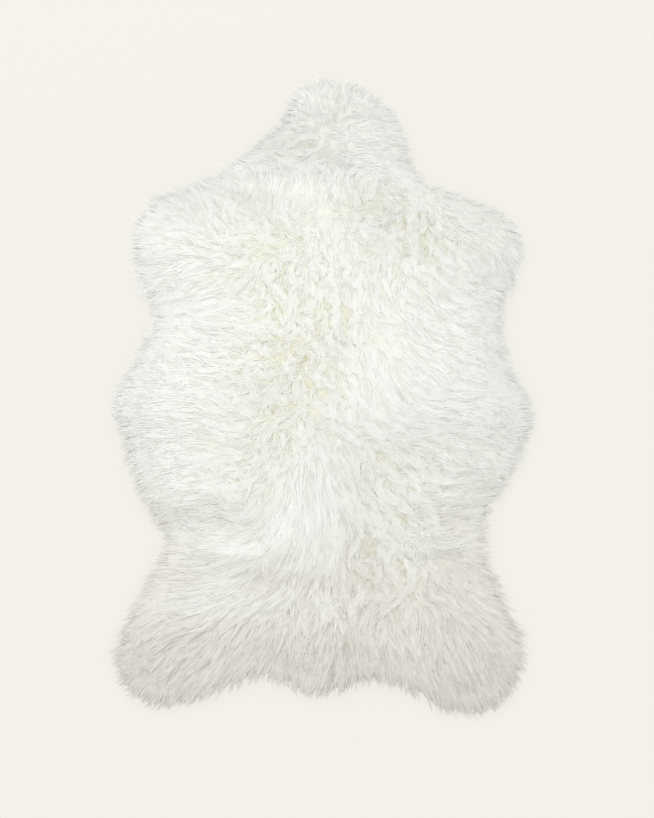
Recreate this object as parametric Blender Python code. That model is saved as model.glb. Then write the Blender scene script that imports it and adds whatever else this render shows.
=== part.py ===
"""A long-haired sheepskin rug lying flat on the floor, as one closed solid.

The rug is a whole pelt in one piece. The head end is towards +Y, the hind legs are
towards -Y and the back faces up. The solid reaches as far as the wool does: its underside
is flat on z = 0 and its top is the crowned, uneven surface that the lying wool makes.
Lengths in the tables are in millimetres and everything built from them is in metres.
"""

import math

import bmesh
import bpy
import numpy as np

MM = 0.001

# The pile, in millimetres.
LIP_HEIGHT = 9.0  # wool at the very edge, where the tips meet the floor
FLANK_HEIGHT = 42.0  # lying wool over most of the pelt
SPINE_RISE = 13.0  # how much more wool lies along the back
SPINE_HALF_WIDTH = 150.0
ROLL_WIDTH = 68.0  # how far in from the edge the pile reaches its full height
ROLL_POWER = 0.85

# The grid that the top is made on.
CELLS_ACROSS = 40
CELLS_ALONG = 60
EDGE_CROWDING = 0.55  # 0 spreads the lines evenly, 1 crowds them to the edges
CURVE_STEPS = 12  # straight steps in each span of an edge curve

# Both sides of the pelt, from the hind legs to the head: (along, left edge, right edge).
SIDES = (
    (-462.0, -332.0, 316.0),
    (-420.0, -346.0, 331.0),
    (-365.0, -330.0, 323.0),
    (-310.0, -303.0, 292.0),
    (-262.0, -274.0, 275.0),
    (-225.0, -261.0, 267.0),
    (-190.0, -285.0, 272.0),
    (-150.0, -306.0, 293.0),
    (-100.0, -326.0, 322.0),
    (-50.0, -338.0, 340.0),
    (-5.0, -345.0, 337.0),
    (45.0, -323.0, 311.0),
    (95.0, -296.0, 296.0),
    (135.0, -277.0, 293.0),
    (175.0, -302.0, 305.0),
    (215.0, -309.0, 321.0),
    (250.0, -317.0, 325.0),
    (285.0, -309.0, 312.0),
    (310.0, -294.0, 280.0),
    (328.0, -276.0, 243.0),
    (342.0, -244.0, 208.0),
    (354.0, -208.0, 178.0),
    (368.0, -172.0, 155.0),
    (390.0, -140.0, 140.0),
    (415.0, -118.0, 134.0),
    (440.0, -88.0, 128.0),
    (464.0, -65.0, 118.0),
    (488.0, -60.0, 97.0),
)

# The end of the neck between the two sides' last places, left to right: (across, along).
HEAD_END = (
    (-60.0, 488.0),
    (-42.0, 509.0),
    (-8.0, 522.0),
    (28.0, 520.0),
    (64.0, 509.0),
    (97.0, 488.0),
)

# The rump and both hind legs between the sides' first places: (across, along).
RUMP_END = (
    (-332.0, -462.0),
    (-304.0, -490.0),
    (-262.0, -503.0),
    (-215.0, -497.0),
    (-168.0, -482.0),
    (-125.0, -464.0),
    (-85.0, -459.0),
    (-45.0, -475.0),
    (-8.0, -489.0),
    (30.0, -482.0),
    (65.0, -467.0),
    (100.0, -464.0),
    (142.0, -485.0),
    (190.0, -507.0),
    (236.0, -518.0),
    (278.0, -507.0),
    (303.0, -485.0),
    (316.0, -462.0),
)

# Soft ridges and hollows of the lying wool:
# (across, along, reach along its length, reach across it, turn in degrees, rise).
RELIEF = (
    (-145.0, 112.0, 60.0, 22.0, 4.0, 6.0),
    (-238.0, -10.0, 40.0, 26.0, 0.0, 5.0),
    (-190.0, -136.0, 55.0, 24.0, 0.0, 6.0),
    (-55.0, -150.0, 85.0, 34.0, 82.0, 9.0),
    (-150.0, -246.0, 75.0, 20.0, -4.0, 8.0),
    (25.0, 205.0, 45.0, 32.0, 20.0, 5.0),
    (118.0, 52.0, 85.0, 46.0, -42.0, 7.0),
    (215.0, -100.0, 75.0, 20.0, -22.0, 6.0),
    (-255.0, 262.0, 60.0, 30.0, 12.0, 5.0),
    (70.0, 425.0, 60.0, 18.0, 10.0, 6.0),
    (-30.0, 325.0, 90.0, 22.0, 2.0, 5.0),
    (-300.0, -52.0, 45.0, 16.0, 0.0, -6.0),
    (-200.0, -206.0, 85.0, 18.0, 10.0, -10.0),
    (195.0, -258.0, 85.0, 17.0, 4.0, -11.0),
    (65.0, -266.0, 36.0, 22.0, 0.0, -8.0),
    (0.0, -304.0, 60.0, 18.0, -8.0, -7.0),
    (205.0, -52.0, 95.0, 17.0, -4.0, -6.0),
    (300.0, 218.0, 42.0, 22.0, -60.0, -8.0),
    (-145.0, 316.0, 55.0, 18.0, 4.0, -7.0),
    (-40.0, 366.0, 105.0, 15.0, -2.0, -9.0),
    (-78.0, 416.0, 45.0, 16.0, -8.0, -8.0),
    (-62.0, 60.0, 55.0, 22.0, -55.0, -6.0),
    (-70.0, -72.0, 40.0, 20.0, 25.0, -6.0),
    (-262.0, 138.0, 60.0, 16.0, 2.0, -7.0),
)

WOOL_COLOUR = (0.90, 0.89, 0.84, 1.0)
WOOL_ROUGHNESS = 0.95


def clear_scene() -> None:
    """Remove every object of the scene."""
    for obj in list(bpy.data.objects):
        bpy.data.objects.remove(obj, do_unlink=True)


def smooth_curve(points: np.ndarray, steps: int) -> np.ndarray:
    """Carry a smooth curve through points: each span is a cubic whose slope at a point is
    half the step between its two neighbours, mirrored past the first and last points."""
    ends = np.vstack([2.0 * points[:1] - points[1:2], points, 2.0 * points[-1:] - points[-2:-1]])
    before, start, stop, after = ends[:-3], ends[1:-2], ends[2:-1], ends[3:]
    t = (np.arange(steps) / steps)[None, :, None]
    before, start, stop, after = (part[:, None, :] for part in (before, start, stop, after))
    slope_in = 0.5 * (stop - before)
    slope_out = 0.5 * (after - start)
    bend = 3.0 * (stop - start) - 2.0 * slope_in - slope_out
    twist = 2.0 * (start - stop) + slope_in + slope_out
    spans = start + slope_in * t + bend * t**2 + twist * t**3
    return np.vstack([spans.reshape(-1, points.shape[1]), points[-1:]])


def even_places(curve: np.ndarray) -> np.ndarray:
    """Give the share of a curve's length, 0 to 1, at each of its points."""
    lengths = np.linalg.norm(np.diff(curve, axis=0), axis=1)
    travelled = np.concatenate([[0.0], np.cumsum(lengths)])
    return travelled / travelled[-1]


def read_curve(curve: np.ndarray, places: np.ndarray, at: np.ndarray) -> np.ndarray:
    """Read a curve's points where its own places reach the wanted ones."""
    columns = [np.interp(at, places, curve[:, column]) for column in range(curve.shape[1])]
    return np.stack(columns, axis=1)


def grid_lines(count: int) -> np.ndarray:
    """Spread count + 1 lines over 0 to 1, closer together towards both ends."""
    even = np.arange(count + 1) / count
    crowded = 0.5 - 0.5 * np.cos(math.pi * even)
    return even + EDGE_CROWDING * (crowded - even)


def edge_curves() -> dict[str, np.ndarray]:
    """Make the four edges of the pelt as smooth curves, in millimetres."""
    sides = np.array(SIDES)
    return {
        "left": smooth_curve(sides[:, [1, 0]], CURVE_STEPS),
        "right": smooth_curve(sides[:, [2, 0]], CURVE_STEPS),
        "head": smooth_curve(np.array(HEAD_END), CURVE_STEPS),
        "rump": smooth_curve(np.array(RUMP_END), CURVE_STEPS),
    }


def surface_plan(edges: dict[str, np.ndarray]) -> np.ndarray:
    """Fill the four edges with a grid: each point is the blend of the left and right edges
    plus the blend of the rump and head ends, less the blend of the four corners."""
    across = grid_lines(CELLS_ACROSS)
    along = grid_lines(CELLS_ALONG)
    travelled = 0.5 * (even_places(edges["left"]) + even_places(edges["right"]))
    left = read_curve(edges["left"], travelled, along)[None, :, :]
    right = read_curve(edges["right"], travelled, along)[None, :, :]
    rump = read_curve(edges["rump"], even_places(edges["rump"]), across)[:, None, :]
    head = read_curve(edges["head"], even_places(edges["head"]), across)[:, None, :]
    u = across[:, None, None]
    v = along[None, :, None]
    sides = (1.0 - u) * left + u * right
    ends = (1.0 - v) * rump + v * head
    low = (1.0 - u) * rump[:1] + u * rump[-1:]
    high = (1.0 - u) * head[:1] + u * head[-1:]
    return sides + ends - (1.0 - v) * low - v * high


def outline_of(plan: np.ndarray) -> np.ndarray:
    """Give the grid's border as one closed loop, starting at the left hind leg."""
    return np.vstack([plan[:-1, 0], plan[-1, :-1], plan[:0:-1, -1], plan[0, :0:-1]])


def distance_to_edge(points: np.ndarray, loop: np.ndarray) -> np.ndarray:
    """Measure how far each point is from the closed loop's nearest straight step."""
    start = loop[None, :, :]
    step = np.roll(loop, -1, axis=0)[None, :, :] - start
    offset = points[:, None, :] - start
    share = np.clip((offset * step).sum(2) / (step * step).sum(2), 0.0, 1.0)
    return np.linalg.norm(offset - share[:, :, None] * step, axis=2).min(axis=1)


def relief_height(across: np.ndarray, along: np.ndarray) -> np.ndarray:
    """Add up the ridges and hollows: each is a bell-shaped mound, stretched and turned."""
    height = np.zeros_like(across)
    for centre_x, centre_y, reach_long, reach_wide, turn, rise in RELIEF:
        angle = math.radians(turn)
        x = across - centre_x
        y = along - centre_y
        long_way = (x * math.cos(angle) + y * math.sin(angle)) / reach_long
        wide_way = (y * math.cos(angle) - x * math.sin(angle)) / reach_wide
        height += rise * np.exp(-(long_way**2) - wide_way**2)
    return height


def pile_height(plan: np.ndarray) -> np.ndarray:
    """Work out the height of the wool: a quarter-wave roll rises from the lip at the edge to
    the flank height, the spine's ridge and the relief."""
    points = plan.reshape(-1, 2)
    roll = np.minimum(distance_to_edge(points, outline_of(plan)) / ROLL_WIDTH, 1.0)
    roll = np.sin(0.5 * math.pi * roll) ** ROLL_POWER
    spine = SPINE_RISE * np.exp(-((points[:, 0] / SPINE_HALF_WIDTH) ** 2))
    full = FLANK_HEIGHT + spine + relief_height(points[:, 0], points[:, 1])
    return (LIP_HEIGHT + (full - LIP_HEIGHT) * roll).reshape(plan.shape[:2])


def wool_material() -> bpy.types.Material:
    """Make the creamy white wool finish."""
    material = bpy.data.materials.new("fleece")
    material.use_nodes = True
    shader = material.node_tree.nodes["Principled BSDF"]
    shader.inputs["Base Color"].default_value = WOOL_COLOUR
    shader.inputs["Roughness"].default_value = WOOL_ROUGHNESS
    shader.inputs["Metallic"].default_value = 0.0
    return material


def build_sheepskin() -> bpy.types.Object:
    """Build the rug: a grid laid to the plan and height of the wool, its border drawn down
    to the floor, and one flat face below."""
    plan = surface_plan(edge_curves())
    height = pile_height(plan)
    middle = 0.5 * (plan.reshape(-1, 2).min(axis=0) + plan.reshape(-1, 2).max(axis=0))
    shape = bmesh.new()
    bmesh.ops.create_grid(shape, x_segments=CELLS_ACROSS, y_segments=CELLS_ALONG, size=0.5)
    shape.verts.ensure_lookup_table()
    for vert in shape.verts:
        i = round((vert.co.x + 0.5) * CELLS_ACROSS)
        j = round((vert.co.y + 0.5) * CELLS_ALONG)
        x, y = (plan[i, j] - middle) * MM
        vert.co = (x, y, height[i, j] * MM)
    border = [edge for edge in shape.edges if edge.is_boundary]
    drawn = bmesh.ops.extrude_edge_only(shape, edges=border)["geom"]
    for vert in drawn:
        if isinstance(vert, bmesh.types.BMVert):
            vert.co.z = 0.0
    floor_loop = [edge for edge in drawn if isinstance(edge, bmesh.types.BMEdge) and edge.is_boundary]
    bmesh.ops.contextual_create(shape, geom=floor_loop)
    bmesh.ops.recalc_face_normals(shape, faces=shape.faces)
    mesh = bpy.data.meshes.new("sheepskin")
    shape.to_mesh(mesh)
    shape.free()
    mesh.shade_smooth()
    mesh.materials.append(wool_material())
    rug = bpy.data.objects.new("sheepskin", mesh)
    bpy.context.scene.collection.objects.link(rug)
    return rug


def main() -> None:
    """Clear the scene and build the rug."""
    clear_scene()
    build_sheepskin()


if __name__ == "__main__":
    main()
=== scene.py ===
"""A long-haired sheepskin rug in its finishes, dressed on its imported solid.

The rug is one tanned pelt with the wool on. Three things show: the thin suede skin, the
dense underwool that stands on it, and the long outer locks that lie over both. Each lock is
a bundle of closed three-sided strands that is rooted in the underwool, follows the way the
wool is combed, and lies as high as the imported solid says. Lengths are in metres, and the
charts of the coat are in millimetres and degrees. The neck is towards +Y.
"""

import logging
import math
from dataclasses import dataclass
from enum import Enum

import bpy
import numpy as np
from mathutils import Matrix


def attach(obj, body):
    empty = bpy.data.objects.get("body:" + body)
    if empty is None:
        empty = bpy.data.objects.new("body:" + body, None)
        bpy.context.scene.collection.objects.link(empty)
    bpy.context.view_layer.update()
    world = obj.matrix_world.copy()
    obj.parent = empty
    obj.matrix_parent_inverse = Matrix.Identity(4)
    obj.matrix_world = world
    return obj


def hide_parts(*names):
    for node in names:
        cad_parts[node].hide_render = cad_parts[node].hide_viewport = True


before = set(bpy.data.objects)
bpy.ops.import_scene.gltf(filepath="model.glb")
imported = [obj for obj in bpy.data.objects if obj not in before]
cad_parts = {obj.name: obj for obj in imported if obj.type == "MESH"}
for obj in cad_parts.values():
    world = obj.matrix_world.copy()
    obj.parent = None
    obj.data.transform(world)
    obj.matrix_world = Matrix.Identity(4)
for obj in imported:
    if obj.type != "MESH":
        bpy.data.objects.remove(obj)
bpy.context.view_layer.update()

LOG = logging.getLogger("sheepskin")
MM = 0.001
SEED = 41
LATTICE = 64  # the noise repeats after this many of its reaches


class Slot(Enum):
    """The record's material slots."""

    FLEECE = "fleece"
    HIDE = "hide"


class Growth(Enum):
    """Where a coat's locks are rooted."""

    WHOLE = "the whole skin"
    EDGE = "a band along the skin's edge"
    CRIMPED = "the places where the wool is crimped or parts"


# The way the wool lies, in degrees anticlockwise from +X, at places spread evenly from the
# left edge of the pelt to its right edge:
# (along, left edge, flank, side, back, spine, back, side, flank, right edge).
COMBING = (
    (512, 140, 118, 100, 94, 90, 82, 72, 60, 45),
    (485, 175, 140, 110, 96, 86, 66, 50, 35, 22),
    (462, 190, 165, 140, 130, 75, 40, 25, 14, 10),
    (430, 200, 192, 186, 178, 8, 4, 8, 10, 6),
    (395, 160, 165, 178, 195, 215, 345, 355, 5, 335),
    (372, 158, 160, 172, 185, 200, 350, 340, 340, 318),
    (355, 160, 142, 112, 95, 92, 86, 50, 325, 312),
    (330, 165, 160, 128, 92, 92, 84, 20, 300, 335),
    (308, 150, 152, 130, 92, 90, 110, 310, 318, 345),
    (290, 148, 156, 125, 110, 280, 195, 275, 338, 352),
    (255, 176, 168, 165, 195, 282, 350, 282, 330, 350),
    (215, 186, 190, 195, 230, 275, 250, 315, 315, 300),
    (175, 200, 210, 205, 275, 272, 275, 300, 348, 342),
    (135, 182, 180, 168, 250, 300, 318, 340, 350, 355),
    (90, 184, 176, 168, 182, 310, 296, 328, 344, 350),
    (40, 192, 185, 180, 200, 290, 285, 312, 338, 345),
    (-5, 184, 175, 172, 192, 300, 302, 340, 350, 352),
    (-50, 184, 180, 184, 205, 304, 335, 352, 355, 0),
    (-90, 205, 190, 184, 235, 280, 325, 330, 342, 345),
    (-135, 212, 192, 180, 248, 275, 300, 330, 350, 350),
    (-185, 212, 195, 178, 248, 272, 300, 325, 0, 0),
    (-235, 182, 179, 186, 250, 268, 240, 290, 5, 348),
    (-283, 184, 186, 200, 238, 240, 320, 280, 330, 340),
    (-332, 198, 200, 208, 220, 290, 230, 290, 318, 345),
    (-382, 204, 210, 222, 234, 258, 276, 290, 312, 342),
    (-431, 208, 228, 238, 242, 262, 274, 286, 300, 334),
    (-480, 220, 248, 242, 285, 262, 272, 280, 290, 308),
)

# How long the locks are: (along, left edge, side, spine, side, right edge), in millimetres.
LENGTH = (
    (505, 36, 34, 34, 36, 38),
    (430, 44, 36, 32, 40, 42),
    (360, 50, 42, 34, 38, 46),
    (255, 56, 48, 32, 40, 50),
    (135, 56, 46, 30, 42, 52),
    (-5, 62, 44, 36, 54, 60),
    (-90, 60, 46, 62, 46, 56),
    (-135, 56, 50, 76, 42, 54),
    (-235, 62, 58, 62, 38, 52),
    (-332, 64, 64, 42, 50, 60),
    (-431, 70, 72, 60, 68, 70),
    (-500, 66, 66, 58, 64, 66),
)

# How curly the wool is, from 0, combed straight, to 1, crimped: columns as in COMBING.
CURL = (
    (505, 0.1, 0.1, 0.15, 0.2, 0.25, 0.25, 0.15, 0.1, 0.1),
    (462, 0.1, 0.1, 0.15, 0.3, 0.5, 0.3, 0.15, 0.1, 0.1),
    (430, 0.1, 0.2, 0.3, 0.3, 0.25, 0.15, 0.1, 0.1, 0.1),
    (395, 0.1, 0.3, 0.5, 0.5, 0.3, 0.1, 0.1, 0.2, 0.1),
    (355, 0.1, 0.1, 0.1, 0.15, 0.2, 0.3, 0.3, 0.3, 0.1),
    (308, 0.05, 0.1, 0.5, 0.3, 0.3, 0.6, 0.8, 0.5, 0.1),
    (255, 0.05, 0.1, 0.5, 0.8, 0.4, 0.5, 0.8, 0.4, 0.1),
    (215, 0.05, 0.15, 0.5, 0.8, 0.5, 0.4, 0.6, 0.3, 0.1),
    (135, 0.05, 0.1, 0.3, 0.8, 0.8, 0.4, 0.3, 0.15, 0.05),
    (90, 0.05, 0.15, 0.4, 0.8, 0.8, 0.4, 0.3, 0.1, 0.05),
    (40, 0.05, 0.1, 0.4, 0.9, 0.8, 0.3, 0.15, 0.1, 0.05),
    (-5, 0.05, 0.1, 0.3, 0.8, 0.7, 0.2, 0.1, 0.05, 0.0),
    (-50, 0.05, 0.1, 0.4, 0.8, 0.6, 0.3, 0.1, 0.05, 0.0),
    (-90, 0.05, 0.1, 0.4, 0.8, 0.15, 0.7, 0.6, 0.15, 0.0),
    (-135, 0.05, 0.1, 0.6, 0.3, 0.0, 0.8, 0.7, 0.2, 0.05),
    (-185, 0.05, 0.1, 0.5, 0.2, 0.0, 0.5, 0.6, 0.3, 0.05),
    (-235, 0.0, 0.0, 0.1, 0.1, 0.1, 0.8, 0.6, 0.2, 0.05),
    (-283, 0.0, 0.1, 0.15, 0.15, 0.1, 0.9, 0.7, 0.2, 0.05),
    (-332, 0.0, 0.05, 0.15, 0.3, 0.5, 0.7, 0.4, 0.1, 0.0),
    (-382, 0.0, 0.05, 0.1, 0.2, 0.3, 0.3, 0.2, 0.1, 0.0),
    (-431, 0.0, 0.0, 0.05, 0.1, 0.15, 0.15, 0.1, 0.05, 0.0),
    (-500, 0.0, 0.0, 0.0, 0.05, 0.05, 0.05, 0.05, 0.0, 0.0),
)

# How grey the wool is painted, from 0, white, to 1, the full grey: painted shade, where the light falls
# off towards the rump, the right side and the head: columns as in COMBING.
SHADE_GREY = (
    (505, 0.60, 0.65, 0.70, 0.70, 0.70, 0.65, 0.60, 0.50, 0.40),
    (460, 0.65, 0.75, 0.75, 0.70, 0.65, 0.60, 0.55, 0.50, 0.40),
    (420, 0.60, 0.70, 0.65, 0.60, 0.60, 0.50, 0.35, 0.20, 0.15),
    (371, 0.45, 0.65, 0.60, 0.60, 0.50, 0.60, 0.50, 0.25, 0.25),
    (322, 0.55, 0.70, 0.50, 0.30, 0.10, 0.35, 0.45, 0.55, 0.40),
    (257, 0.40, 0.20, 0.15, 0.10, 0.10, 0.30, 0.35, 0.40, 0.30),
    (191, 0.45, 0.25, 0.15, 0.15, 0.00, 0.10, 0.20, 0.45, 0.55),
    (126, 0.45, 0.15, 0.00, 0.00, 0.00, 0.05, 0.10, 0.25, 0.55),
    (60, 0.50, 0.10, 0.00, 0.05, 0.10, 0.00, 0.05, 0.35, 0.55),
    (-5, 0.65, 0.15, 0.10, 0.20, 0.10, 0.10, 0.30, 0.45, 0.60),
    (-70, 0.70, 0.35, 0.10, 0.20, 0.25, 0.35, 0.45, 0.55, 0.65),
    (-136, 0.65, 0.20, 0.20, 0.12, 0.25, 0.38, 0.22, 0.52, 0.50),
    (-193, 0.65, 0.60, 0.40, 0.00, 0.30, 0.48, 0.32, 0.58, 0.62),
    (-247, 0.50, 0.28, 0.12, 0.38, 0.42, 0.55, 0.20, 0.50, 0.62),
    (-291, 0.60, 0.53, 0.46, 0.54, 0.54, 0.56, 0.52, 0.64, 0.68),
    (-332, 0.55, 0.50, 0.35, 0.50, 0.50, 0.55, 0.58, 0.66, 0.68),
    (-373, 0.55, 0.74, 0.70, 0.62, 0.60, 0.60, 0.62, 0.74, 0.70),
    (-414, 0.68, 0.84, 0.80, 0.72, 0.76, 0.72, 0.70, 0.86, 0.70),
    (-455, 0.82, 0.84, 0.68, 0.70, 0.74, 0.74, 0.80, 0.88, 0.88),
    (-505, 0.86, 0.76, 0.70, 0.72, 0.74, 0.74, 0.80, 0.88, 0.90),
)

# The narrower folds of the coat: (across, along, way, half length, half width, rise), where
# the way is in degrees, and a fold with a negative rise is a dent.
FOLDS = (
    (-44, -190, 88, 100, 30, 6.5),
    (-104, -180, 80, 70, 12, -3.5),
    (8, -215, 92, 60, 9, -3.5),
    (-172, -250, -5, 92, 10, 4.5),
    (-92, -292, -10, 120, 9, -4.0),
    (-125, -327, -3, 98, 13, 3.0),
    (185, -260, 5, 60, 7, -4.5),
    (60, -262, 0, 18, 8, -4.0),
    (200, -96, -21, 98, 10, 3.5),
    (215, -60, -5, 95, 15, -2.5),
    (-80, 418, 0, 36, 8, -4.0),
    (86, 418, 8, 40, 8, 4.0),
    (36, 370, -20, 34, 11, -3.5),
    (-95, 362, 0, 42, 8, -3.0),
    (-115, 318, -8, 30, 9, -3.5),
    (-148, 336, 0, 38, 11, 3.0),
    (302, 206, 80, 34, 12, -4.0),
    (278, 286, -15, 42, 18, 3.0),
    (-24, 486, 70, 20, 8, -3.0),
    (-142, 118, -12, 58, 13, 3.0),
    (16, -450, 82, 26, 5, -5.0),
    (99, -422, 76, 24, 5, -4.5),
    (186, -450, 70, 34, 5, -5.0),
    (-86, -427, 76, 20, 6, -4.5),
    (246, -495, 66, 24, 5, -4.5),
    (-236, -440, 50, 40, 5, -3.5),
)


@dataclass(frozen=True)
class Chart:
    """Values charted over the pelt, in rows down the back and columns across it."""

    rows: tuple[tuple[float, ...], ...]

    def read(self, along: np.ndarray, share: np.ndarray, values: np.ndarray | None = None) -> np.ndarray:
        """Read the chart between its rows and columns.

        The value is the blend of the four charted places around each point.

        Args:
            along: how far up the pelt each point is, in metres.
            share: how far across it is, 0 at the left edge and 1 at the right edge.
            values: other values to read at the same places, one for each charted value.

        Returns:
            The value at each point.
        """
        table = np.array(self.rows, float)[::-1]
        values = table[:, 1:] if values is None else values[::-1]
        row = np.interp(along / MM, table[:, 0], np.arange(len(table)))
        column = np.clip(share, 0.0, 1.0) * (values.shape[1] - 1)
        low_row = np.minimum(row.astype(int), len(table) - 2)
        low_column = np.minimum(column.astype(int), values.shape[1] - 2)
        v = row - low_row
        u = column - low_column
        v = v * v * (3.0 - 2.0 * v)
        below = values[low_row, low_column] * (1 - u) + values[low_row, low_column + 1] * u
        above = values[low_row + 1, low_column] * (1 - u) + values[low_row + 1, low_column + 1] * u
        return below * (1 - v) + above * v


@dataclass(frozen=True)
class Drift:
    """Smooth seeded noise over the plan, about as wide as its reach."""

    reach: float
    seed: int

    def read(self, points: np.ndarray) -> np.ndarray:
        """Read the noise: random values on a square lattice, which repeats, blended by an
        S-curve between the four lattice points around each place.

        Args:
            points: places in the plan, in metres.

        Returns:
            The noise at each place, from -1 to 1.
        """
        rng = np.random.default_rng(self.seed)
        lattice = rng.uniform(-1.0, 1.0, (LATTICE, LATTICE))
        place = points / self.reach + 1000.0
        cell = np.floor(place).astype(int)
        u, v = np.moveaxis(place - cell, -1, 0)
        u = u * u * (3.0 - 2.0 * u)
        v = v * v * (3.0 - 2.0 * v)
        x, y = np.moveaxis(cell % LATTICE, -1, 0)
        x1, y1 = (x + 1) % LATTICE, (y + 1) % LATTICE
        low = lattice[x, y] * (1 - u) + lattice[x1, y] * u
        high = lattice[x, y1] * (1 - u) + lattice[x1, y1] * u
        return low * (1 - v) + high * v


@dataclass
class Pelt:
    """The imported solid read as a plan: its outline, how far in from it a place is, and the
    height that the lying wool reaches. Everything grows from this."""

    node: bpy.types.Object
    pitch: float = 0.003
    margin: float = 0.060
    blur: float = 0.009
    drop_reach: float = 0.014
    normal_step: float = 0.012

    def __post_init__(self) -> None:
        """Read the solid once and lay its maps."""
        co = np.empty(len(self.node.data.vertices) * 3, np.float32)
        self.node.data.vertices.foreach_get("co", co)
        co = np.unique(np.round(co.reshape(-1, 3).astype(float), 6), axis=0)
        floor = co[:, 2].min()
        rim = co[co[:, 2] < floor + MM * 0.5][:, :2]
        self.outline = rim[np.argsort(np.arctan2(rim[:, 1], rim[:, 0]))]
        self.angles = np.arctan2(self.outline[:, 1], self.outline[:, 0])
        self.radii = np.linalg.norm(self.outline, axis=1)
        self.low = self.outline.min(axis=0) - self.margin
        self.high = self.outline.max(axis=0) + self.margin
        counts = np.ceil((self.high - self.low) / self.pitch).astype(int) + 1
        x = self.low[0] + self.pitch * np.arange(counts[0])
        y = self.low[1] + self.pitch * np.arange(counts[1])
        grid = np.stack(np.meshgrid(x, y, indexing="ij"), axis=-1)
        self.grid = grid
        self.depth_map = self.measure_depth(grid.reshape(-1, 2)).reshape(counts)
        top = co[co[:, 2] > floor + MM * 0.5]
        self.height_map = self.measure_height(grid.reshape(-1, 2), top).reshape(counts)
        outside = np.minimum(self.depth_map, 0.0)
        self.height_map *= np.exp(outside / self.drop_reach)
        self.levels = np.linspace(self.outline[:, 1].min(), self.outline[:, 1].max(), 260)
        self.left, self.right = self.measure_span(self.levels)

    def measure_depth(self, points: np.ndarray) -> np.ndarray:
        """Measure how far in from the outline each point is: the distance to the nearest
        straight step of the outline, signed by the polar radius.

        Args:
            points: places in the plan, (n, 2).

        Returns:
            The depth of each place in metres, less than 0 outside the outline.
        """
        start = self.outline[None]
        step = np.roll(self.outline, -1, axis=0)[None] - start
        nearest = []
        for some in np.array_split(points, 40):
            offset = some[:, None] - start
            share = np.clip((offset * step).sum(2) / (step * step).sum(2), 0.0, 1.0)
            nearest.append(np.linalg.norm(offset - share[..., None] * step, axis=2).min(axis=1))
        angle = np.arctan2(points[:, 1], points[:, 0])
        reach = np.interp(angle, self.angles, self.radii, period=2.0 * math.pi)
        inside = np.linalg.norm(points, axis=1) < reach
        return np.where(inside, 1.0, -1.0) * np.concatenate(nearest)

    def measure_height(self, points: np.ndarray, top: np.ndarray) -> np.ndarray:
        """Average the solid's top around each point, weighted by a bell of the blur's width.

        Args:
            points: places in the plan, (n, 2).
            top: the points of the solid's top, (m, 3).

        Returns:
            The height at each place in metres.
        """
        found = []
        for some in np.array_split(points, 60):
            gap = ((some[:, None] - top[None, :, :2]) ** 2).sum(2) / (2.0 * self.blur**2)
            weight = np.exp(-np.minimum(gap - gap.min(axis=1, keepdims=True), 40.0))
            found.append((weight * top[None, :, 2]).sum(1) / weight.sum(1))
        return np.concatenate(found)

    def measure_span(self, levels: np.ndarray) -> tuple[np.ndarray, np.ndarray]:
        """Find the leftmost and rightmost crossing of the outline at each level.

        Args:
            levels: places along the pelt, in metres.

        Returns:
            The left edge and the right edge at each level.
        """
        start = self.outline
        stop = np.roll(start, -1, axis=0)
        level = np.clip(levels, start[:, 1].min() + MM, start[:, 1].max() - MM)[:, None]
        crosses = (start[None, :, 1] <= level) != (stop[None, :, 1] <= level)
        rise = np.where(stop[:, 1] == start[:, 1], 1.0, stop[:, 1] - start[:, 1])
        x = start[:, 0] + (level - start[:, 1]) / rise * (stop[:, 0] - start[:, 0])
        left = np.where(crosses, x, np.inf).min(axis=1)
        right = np.where(crosses, x, -np.inf).max(axis=1)
        return left, right

    def read_map(self, values: np.ndarray, points: np.ndarray) -> np.ndarray:
        """Read a map between its grid points, as the blend of the four around each place.

        Args:
            values: the map, one value for each grid point.
            points: places in the plan.

        Returns:
            The value at each place.
        """
        place = (points - self.low) / self.pitch
        place = np.clip(place, 0.0, np.array(values.shape) - 1.001)
        cell = place.astype(int)
        u, v = np.moveaxis(place - cell, -1, 0)
        x, y = np.moveaxis(cell, -1, 0)
        low = values[x, y] * (1 - u) + values[x + 1, y] * u
        high = values[x, y + 1] * (1 - u) + values[x + 1, y + 1] * u
        return low * (1 - v) + high * v

    def depth(self, points: np.ndarray) -> np.ndarray:
        """Give how far in from the outline each point is."""
        return self.read_map(self.depth_map, points)

    def height(self, points: np.ndarray) -> np.ndarray:
        """Give the height of the lying wool at each point."""
        return self.read_map(self.height_map, points)

    def outward(self, points: np.ndarray) -> np.ndarray:
        """Give the way to the nearest edge, down the slope of the depth.

        Args:
            points: places in the plan.

        Returns:
            A unit vector at each place.
        """
        step = self.normal_step
        east, north = np.array([step, 0.0]), np.array([0.0, step])
        fall_x = self.depth(points - east) - self.depth(points + east)
        fall_y = self.depth(points - north) - self.depth(points + north)
        fall = np.stack([fall_x, fall_y], axis=-1)
        return fall / (np.linalg.norm(fall, axis=-1, keepdims=True) + 1e-9)

    def share(self, points: np.ndarray) -> np.ndarray:
        """Give how far across the pelt each point is.

        Args:
            points: places in the plan.

        Returns:
            A share for each place, from 0 at the left edge to 1 at the right one.
        """
        left = np.interp(points[..., 1], self.levels, self.left)
        right = np.interp(points[..., 1], self.levels, self.right)
        return np.clip((points[..., 0] - left) / (right - left), 0.0, 1.0)

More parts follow.
